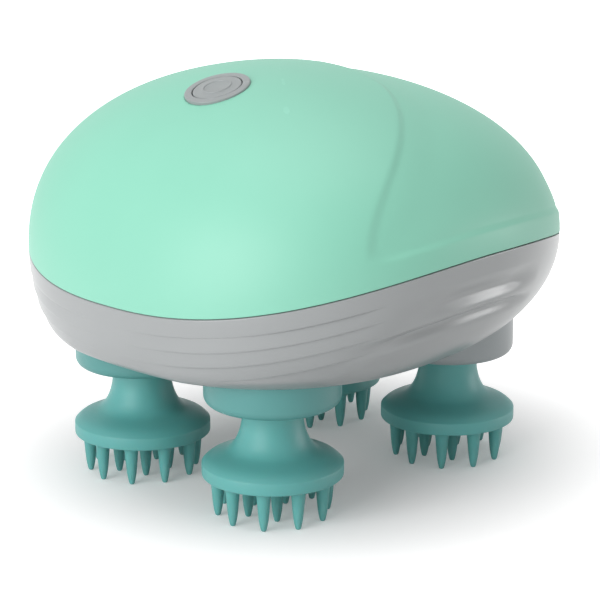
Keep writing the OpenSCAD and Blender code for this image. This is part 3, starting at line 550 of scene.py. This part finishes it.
SEAM, ROUND = 0.11, 0.12
low_t = dome_angle(ring, 0.2)
upper_rows = [dome_row(low_t + (np.radians(89) - low_t) * share)
              for share in np.linspace(1, 0, 138)]
upper_rows += [rim_row(ROUND * (1 - math.cos(a)), SEAM + ROUND * (1 - math.sin(a)))
               for a in np.radians([0, 30, 60, 90])]
upper_rows += [rim_row(0.42, SEAM), rim_row(0.44, JOINT_HALF), rim_row(WALL, JOINT_HALF)]
upper_rows += [dome_point(ring, np.radians(t), WALL) for t in (14, 28, 42, 58, 75)]
apex = (APEX_X, 0, TOP)
upper_skin = new_piece(
    "upper_skin", *closed_skin(upper_rows, apex, (APEX_X, 0, TOP - WALL)), sharp=40)
print("upper skin faces:", len(upper_skin.data.polygons))

# %% [markdown]
# The power button stands square to the dome, 27 mm in front of the middle. We work out its
# place and tilt from the dome's formula, and take its seat out of the skin.

# %% Seat of the power button
BUTTON_X = -27.0


def spine_height(x):
    tip = outline(np.pi, 0)[0]
    return float(dome_point(np.pi, np.arccos((x - APEX_X) / (tip - APEX_X)), 0)[2])


button_tilt = math.atan((spine_height(BUTTON_X + 1) - spine_height(BUTTON_X - 1)) / 2)
BUTTON = (Matrix.Translation(Vector((BUTTON_X, 0, spine_height(BUTTON_X))) * MM)
          @ Matrix.Rotation(-button_tilt, 4, "Y"))


def at_button(piece):
    piece.data.transform(BUTTON)
    return piece


SEAT_R, FLANGE_R, FLANGE_DEPTH = 7.13, 8.8, 1.6
seat_tool = at_button(new_piece("seat_tool", *lathe(
    [(0, 4), (SEAT_R, 4), (SEAT_R, -FLANGE_DEPTH), (FLANGE_R, -FLANGE_DEPTH), (FLANGE_R, -5),
     (0, -5)])))
cut(upper_skin, seat_tool)
upper_skin.data.materials.clear()
upper_skin.data.materials.append(mint_plastic)
place(upper_skin, "housing", "mint_shell", "upper_shell")
print("button tilt:", round(math.degrees(button_tilt), 2), "faces:", len(upper_skin.data.polygons))

# %% [markdown]
# ## The lower shell
# The grey shell has four shallow grip steps along each flank at the front, and behind them
# a scoop between two soft ridges. A step is an inset that starts at a line and runs out
# before the next one. We put rows of points right at each line, so the steps stay crisp.

# %% Lower shell skin
STEP_FIRST, STEP_PITCH, STEP_COUNT, STEP_DEPTH = 3.8, 3.2, 4, 0.4
STEP_GROOVE, GROOVE_HALF, SCOOP_DEPTH = 0.07, 0.16, 1.3
STEEPEST, STAGGER = math.radians(60), 0.0007


def step_inset(p, depth, t):
    """A fine groove at each step line and a ramp below it; both fade out where the hull turns under."""
    k = math.floor((depth - STEP_FIRST) / STEP_PITCH)
    along = (depth - STEP_FIRST) / STEP_PITCH - k
    ramp = 0.0 if k < 0 or k >= STEP_COUNT else 1 - along
    nearest = min(abs(depth - STEP_FIRST - n * STEP_PITCH) for n in range(STEP_COUNT))
    groove = STEP_GROOVE * math.exp(-(nearest / GROOVE_HALF) ** 2)
    weight = ease(np.abs(p[:, 1]), 3, 22) * (1 - ease(p[:, 0], -37, -29))
    return (STEP_DEPTH * ramp + groove) * weight * (1 - ease(t, 0.75 * STEEPEST, 0.96 * STEEPEST))


def scoop_inset(p, depth):
    """Two hollows under each other, with a soft ridge below each."""
    upper = ease(depth, 3.6, 7.6) * (1 - ease(depth, 7.6, 10.4)) * ease(p[:, 0], -30, -10)
    lower = ease(depth, 10.5, 12.4) * (1 - ease(depth, 12.4, 14.8)) * ease(p[:, 0], -38, -20)
    return SCOOP_DEPTH * (upper + lower) * (1 - ease(p[:, 0], 5, 17))


def flank_row(depth, number):
    t = np.minimum(hull_angle(ring, depth), STEEPEST + STAGGER * number)
    p = hull_point(ring, t, 0)
    return hull_point(ring, t, step_inset(p, depth, t) + scoop_inset(p, depth)), t


LAST_DEPTH = STEP_FIRST + STEP_COUNT * STEP_PITCH
depths = {0.2}
for n in range(STEP_COUNT):
    line = STEP_FIRST + n * STEP_PITCH
    depths |= {line + shift for shift in (-0.4, -0.26, -0.14, -0.04, 0.04, 0.14, 0.26, 0.4)}
depths |= set(np.arange(0.9, 7.6, 0.6)) | set(np.arange(7.7, LAST_DEPTH, 0.3))
depths = sorted(round(float(d), 3) for d in depths)
flank = [flank_row(d, n) for n, d in enumerate(depths)]
last_t = flank[-1][1]
under = []
for share in np.linspace(0, 1, 44)[1:]:
    t = last_t + (np.radians(88.5) - last_t) * share
    p = hull_point(ring, t, 0)
    under.append(hull_point(ring, t, scoop_inset(p, joint_height(p[:, 0]) - p[:, 2])))


lower_rows = [hull_point(ring, np.radians(t), WALL) for t in (84, 72, 56, 38, 20)]
lower_rows += [rim_row(WALL, -JOINT_HALF), rim_row(0.44, -JOINT_HALF), rim_row(0.42, -SEAM)]
lower_rows += [rim_row(ROUND * (1 - math.cos(a)), -SEAM - ROUND * (1 - math.sin(a)))
               for a in np.radians([90, 60, 30, 0])]
lower_rows += [row for row, _ in flank] + under
keel = (KEEL_X, 0, float(keel_height(KEEL_X)))
lower_skin = new_piece("lower_skin", *closed_skin(
    lower_rows, (KEEL_X, 0, keel[2] + WALL), keel), sharp=50)
print("lower skin faces:", len(lower_skin.data.polygons))

# %% Holes in the lower shell
HEAD_SPOTS = {h: (HEAD_MID_X + (-27.7 if "front" in h else 27.7), -20.6 if "left" in h else 20.6)
              for h in HEADS}
SCREW_SPOTS = [(-50, 0), (46, 0), (HEAD_MID_X, -41.507), (HEAD_MID_X, 41.507)]
COLLAR_HOLE_R, SCREW_HOLE_R, CONTACT_HOLE_R, CONTACT_Y = 14.52, 2.8, 2.22, 6
holes = [(spot, COLLAR_HOLE_R, 35.01) for spot in HEAD_SPOTS.values()]
holes += [(spot, SCREW_HOLE_R, float(joint_height(spot[0])) - 8) for spot in SCREW_SPOTS]
holes += [((HEAD_MID_X, y), CONTACT_HOLE_R, 34) for y in (-CONTACT_Y, CONTACT_Y)]
for spot, radius, top in holes:
    cut(lower_skin, new_piece("hole", *lathe(
        [(0, top), (radius, top), (radius, 5), (0, 5)], 160 if radius > 9 else 48, spot)))
lower_skin.data.materials.clear()
lower_skin.data.materials.append(silver_plastic)
place(lower_skin, "housing", "grey_shell", "lower_shell")
print("lower skin faces after the holes:", len(lower_skin.data.polygons))

# %% [markdown]
# ## The power button
# A grey bezel ring and a round cap with a small raised ring on it. Both are turned parts,
# so we spin a profile of radius and height. The cap rides on its own body and travels.

# %% Bezel and cap
bezel_profile = (
    [(5.5, -1.9), (5.5, 0.12)] + arc(5.68, 0.12, 0.18, 180, 90, 5) + [(6.2, 0.32), (6.8, 0.26)]
    + arc(6.86, 0.02, 0.24, 80, 0, 5)
    + [(7.1, -2.2), (8.7, -2.2), (8.7, -4.0), (6.5, -4.0), (6.5, -1.9)])
bezel = at_button(new_piece("bezel_ring", *lathe(bezel_profile[::-1], 128)))
bezel.data.materials.append(button_plastic)
place(bezel, "housing", "grey_button", "button_bezel")
cap_profile = (
    [(0, 0.27), (2.55, 0.3)] + arc(3.0, 0.34, 0.26, 170, 10, 9) + [(3.5, 0.33), (4.8, 0.3)]
    + arc(4.98, -0.02, 0.32, 85, 0, 6)
    + [(5.3, -1.95), (6.3, -1.95), (6.3, -3.1), (1.5, -3.1), (1.5, -4.2), (0, -4.2)])
cap = at_button(new_piece("button_cap", *lathe(cap_profile, 128)))
cap.data.materials.append(button_plastic)
place(cap, "power_button", "grey_button", "power_button")
print("button pieces:", bezel.name, cap.name)

# %% [markdown]
# ## The collars
# A collar is a deep cup that comes out through the lower shell round each neck. The front
# pair is teal, the rear pair is grey like the shell.

# %% Collars
COLLAR_LOW, COLLAR_TOP = 24.4, 35.0
collar_profile = (
    arc(7.25, COLLAR_LOW + 0.3, 0.3, 180, 270, 4) + arc(12.5, COLLAR_LOW + 2, 2, 270, 360, 12)
    + [(14.5, COLLAR_TOP), (6.02, COLLAR_TOP), (6.02, 32.0), (3.2, 32.0), (3.2, 30.7),
       (7.82, 30.7), (7.82, 31.5), (12.7, 31.5), (12.7, 26.2), (6.95, 26.2)])
for h, spot in HEAD_SPOTS.items():
    is_front = h.startswith("front")
    collar = new_piece(h + "_cup", *lathe(collar_profile, 128, spot))
    collar.data.materials.append(teal_plastic if is_front else grey_plastic)
    place(collar, "housing", "teal_collar" if is_front else "grey_collar", h + "_collar")
print("collars:", len(HEAD_SPOTS))

# %% [markdown]
# ## The massage heads
# Each head is a silicone bell: a neck, a concave flare, a rounded shoulder and a flat rim
# band, with two rings of soft fingers below. The bell is turned. The fingers repeat, so one
# finger is modelled and Geometry Nodes set it out on two circles and join it to the bell.

# %% Profile of the bell and of one finger
CORE_R, CORE_LOW, NECK_TOP = 4.62, 11.98, 29.7
rim_band = [(0, 8.7), (14.3, 8.7)] + arc(14.65, 9.05, 0.35, 290, 360, 5) + [
    (15.0, 11.3), (14.97, 11.42), (14.88, 11.52)]
shoulder = [(14.65, 11.77), (14.2, 12.2), (13.6, 12.65), (12.9, 13.0), (12.2, 13.3), (11.4, 13.6),
            (10.6, 13.9), (9.9, 14.2)]
flare = [(9.3, 14.55), (8.74, 15.05), (8.2, 15.68), (7.8, 16.35), (7.42, 17.15), (7.1, 18.0),
         (6.82, 19.0), (6.62, 19.95), (6.5, 20.9), (6.45, 22.0)]
socket_rows = [(CORE_R, NECK_TOP), (CORE_R, 20.02), (5.12, 20.02), (5.12, 17.98), (CORE_R, 17.98),
               (CORE_R, CORE_LOW), (0, CORE_LOW)]
bell_profile = rim_band + shoulder + flare + [(6.45, NECK_TOP)] + socket_rows
finger_profile = [(0, 0), (0.26, 0), (0.43, 0.06), (0.55, 0.19), (0.63, 0.38), (0.72, 0.75),
                  (0.88, 1.5), (1.03, 2.4), (1.22, 4.2), (1.38, 6.2), (1.5, 7.4), (1.64, 8.1),
                  (1.85, 8.55), (2.15, 8.78), (0, 8.9)]
finger = new_piece("finger", *lathe(finger_profile, 20))
print("bell rows:", len(bell_profile), "finger faces:", len(finger.data.polygons))

# %% Geometry Nodes that set out the fingers
crown = bpy.data.node_groups.new("finger_crown", "GeometryNodeTree")
crown.interface.new_socket("Bell", in_out="INPUT", socket_type="NodeSocketGeometry")
crown_inputs = [("Finger", "NodeSocketObject", None), ("Silicone", "NodeSocketMaterial", None),
                ("Outer count", "NodeSocketInt", 10), ("Outer radius", FLOAT, 0.0117),
                ("Inner count", "NodeSocketInt", 5), ("Inner radius", FLOAT, 0.0058),
                ("Inner turn", FLOAT, math.radians(18)), ("Centre", VECTOR, (0, 0, 0))]
socket_id = {}
for label, kind, value in crown_inputs:
    socket = crown.interface.new_socket(label, in_out="INPUT", socket_type=kind)
    if value is not None:
        socket.default_value = value
    socket_id[label] = socket.identifier
crown.interface.new_socket("Head", in_out="OUTPUT", socket_type="NodeSocketGeometry")
c_in, c_out = add(crown, "NodeGroupInput"), add(crown, "NodeGroupOutput")
c_finger = add(crown, "GeometryNodeObjectInfo")
crown.links.new(c_in.outputs["Finger"], c_finger.inputs["Object"])
c_join = add(crown, "GeometryNodeJoinGeometry")
for which in ("Outer", "Inner"):
    circle = add(crown, "GeometryNodeMeshCircle")
    crown.links.new(c_in.outputs[which + " count"], circle.inputs["Vertices"])
    crown.links.new(c_in.outputs[which + " radius"], circle.inputs["Radius"])
    settle = add(crown, "GeometryNodeTransform")
    crown.links.new(circle.outputs["Mesh"], settle.inputs["Geometry"])
    crown.links.new(c_in.outputs["Centre"], settle.inputs["Translation"])
    if which == "Inner":
        turn = add(crown, "ShaderNodeCombineXYZ")
        crown.links.new(c_in.outputs["Inner turn"], turn.inputs["Z"])
        crown.links.new(turn.outputs["Vector"], settle.inputs["Rotation"])
    spread = add(crown, "GeometryNodeInstanceOnPoints")
    crown.links.new(settle.outputs["Geometry"], spread.inputs["Points"])
    crown.links.new(c_finger.outputs["Geometry"], spread.inputs["Instance"])
    crown.links.new(spread.outputs["Instances"], c_join.inputs["Geometry"])
crown.links.new(c_in.outputs["Bell"], c_join.inputs["Geometry"])
c_real = add(crown, "GeometryNodeRealizeInstances")
c_coat = add(crown, "GeometryNodeSetMaterial")
crown.links.new(c_join.outputs["Geometry"], c_real.inputs["Geometry"])
crown.links.new(c_real.outputs["Geometry"], c_coat.inputs["Geometry"])
crown.links.new(c_in.outputs["Silicone"], c_coat.inputs["Material"])
crown.links.new(c_coat.outputs["Geometry"], c_out.inputs["Head"])
print("crown tree nodes:", len(crown.nodes))

# %% Four heads
for h, spot in HEAD_SPOTS.items():
    bell = new_piece(h + "_bell", *lathe(bell_profile, 128, spot))
    growth = bell.modifiers.new("crown", "NODES")
    growth.node_group = crown
    growth[socket_id["Finger"]] = finger
    growth[socket_id["Silicone"]] = teal_silicone
    growth[socket_id["Centre"]] = (spot[0] * MM, spot[1] * MM, 0)
    bpy.context.view_layer.update()
    ready = bpy.data.meshes.new_from_object(bell.evaluated_get(bpy.context.evaluated_depsgraph_get()))
    bell.modifiers.clear()
    bell.data = ready
    place(bell, h, "teal_silicone", h + "_head")
    print(bell.name, "faces:", len(bell.data.polygons))
bpy.data.objects.remove(finger)

# %% [markdown]
# ## Studio
# The massager is lit plainly: a wide soft box overhead, a second one low at the front and a
# bright room all round, on a pale table. A small box low at the side only makes the sheen on
# the ridges of the scoop: it is kept out of the diffuse light. The table is a matt white that
# keeps the real shadow, with a painted glow added on top. The glow is faint near the massager and
# rises with distance, so the floor is painted darker round the massager and runs out to pure white.

# %% Floor
floor_mesh = bpy.data.meshes.new("studio_floor")
floor_mesh.from_pydata([(-4, -4, 0), (4, -4, 0), (4, 4, 0), (-4, 4, 0)], [], [(0, 1, 2, 3)])
floor = bpy.data.objects.new("studio_floor", floor_mesh)
bpy.context.scene.collection.objects.link(floor)
floor_paint = bpy.data.materials.new("floor_paint")
floor_paint.use_nodes = True
f_tree = floor_paint.node_tree
f_tree.nodes.clear()
f_out = add(f_tree, "ShaderNodeOutputMaterial")
f_sum = add(f_tree, "ShaderNodeAddShader")
f_matt = add(f_tree, "ShaderNodeBsdfDiffuse")
f_painted_glow = add(f_tree, "ShaderNodeEmission")
f_where = add(f_tree, "ShaderNodeTexCoord")
f_far = add(f_tree, "ShaderNodeVectorMath", operation="LENGTH")
# Painted glow: faint near the massager and rising with distance, so the floor is painted darker round
# it and white further away.
f_glow_by_distance = add(f_tree, "ShaderNodeMapRange", interpolation_type="SMOOTHSTEP")
feed(f_tree, f_matt, "Color", (0.82, 0.82, 0.82, 1))
feed(f_tree, f_far, "Vector", f_where.outputs["Object"])
feed(f_tree, f_glow_by_distance, "Value", f_far.outputs["Value"])
feed(f_tree, f_glow_by_distance, "From Min", 0.02)
feed(f_tree, f_glow_by_distance, "From Max", 0.145)
feed(f_tree, f_glow_by_distance, "To Min", 0.16)
feed(f_tree, f_glow_by_distance, "To Max", 1.0)


def seen_rays(tree):
    """1 for rays that show the surface itself: from the camera, or by way of gloss or glass."""
    path = add(tree, "ShaderNodeLightPath")
    first = add(tree, "ShaderNodeMath", operation="ADD", use_clamp=True)
    both = add(tree, "ShaderNodeMath", operation="ADD", use_clamp=True)
    tree.links.new(path.outputs["Is Camera Ray"], first.inputs[0])
    tree.links.new(path.outputs["Is Glossy Ray"], first.inputs[1])
    tree.links.new(first.outputs["Value"], both.inputs[0])
    tree.links.new(path.outputs["Is Transmission Ray"], both.inputs[1])
    return both.outputs["Value"]


f_part = add(f_tree, "ShaderNodeMath", operation="MULTIPLY")
f_tree.links.new(seen_rays(f_tree), f_part.inputs[0])
f_tree.links.new(f_glow_by_distance.outputs["Result"], f_part.inputs[1])
f_tree.links.new(f_part.outputs["Value"], f_painted_glow.inputs["Strength"])
f_tree.links.new(f_matt.outputs["BSDF"], f_sum.inputs[0])
f_tree.links.new(f_painted_glow.outputs["Emission"], f_sum.inputs[1])
f_tree.links.new(f_sum.outputs["Shader"], f_out.inputs["Surface"])
floor_mesh.materials.append(floor_paint)
print("floor ready")

# %% Room light
world = bpy.data.worlds.new("studio_room")
bpy.context.scene.world = world
world.use_nodes = True
w_tree = world.node_tree
w_tree.nodes.clear()
room = add(w_tree, "ShaderNodeBackground")
room.inputs["Color"].default_value = (1, 1, 1, 1)
room.inputs["Strength"].default_value = 0.43
backdrop = add(w_tree, "ShaderNodeBackground")
backdrop.inputs["Strength"].default_value = 1.0
backdrop.inputs["Color"].default_value = (1, 1, 1, 1)
w_blend = add(w_tree, "ShaderNodeMixShader")
w_end = add(w_tree, "ShaderNodeOutputWorld")
w_tree.links.new(seen_rays(w_tree), w_blend.inputs[0])
w_tree.links.new(room.outputs["Background"], w_blend.inputs[1])
w_tree.links.new(backdrop.outputs["Background"], w_blend.inputs[2])
w_tree.links.new(w_blend.outputs["Shader"], w_end.inputs["Surface"])
print("room strength:", room.inputs["Strength"].default_value)

# %% Soft boxes
BOXES = {"overhead": ((0.0, 0.0, 1.0), 0.9, 3.8), "front": ((-0.79, -0.02, 0.28), 0.6, 4.5),
         "side": ((0.6, -0.5, 0.1), 0.3, 1.9)}
for name, (spot, size, power) in BOXES.items():
    box = bpy.data.lights.new(name, "AREA")
    box.shape = "SQUARE"
    box.size = size
    box.energy = power
    lamp = bpy.data.objects.new(name, box)
    lamp.location = spot
    lamp.rotation_euler = (Vector((0, 0, 0.05)) - Vector(spot)).to_track_quat("-Z", "Y").to_euler()
    lamp.visible_diffuse = name != "side"
    bpy.context.scene.collection.objects.link(lamp)
    print("lamp:", name, "power", power)
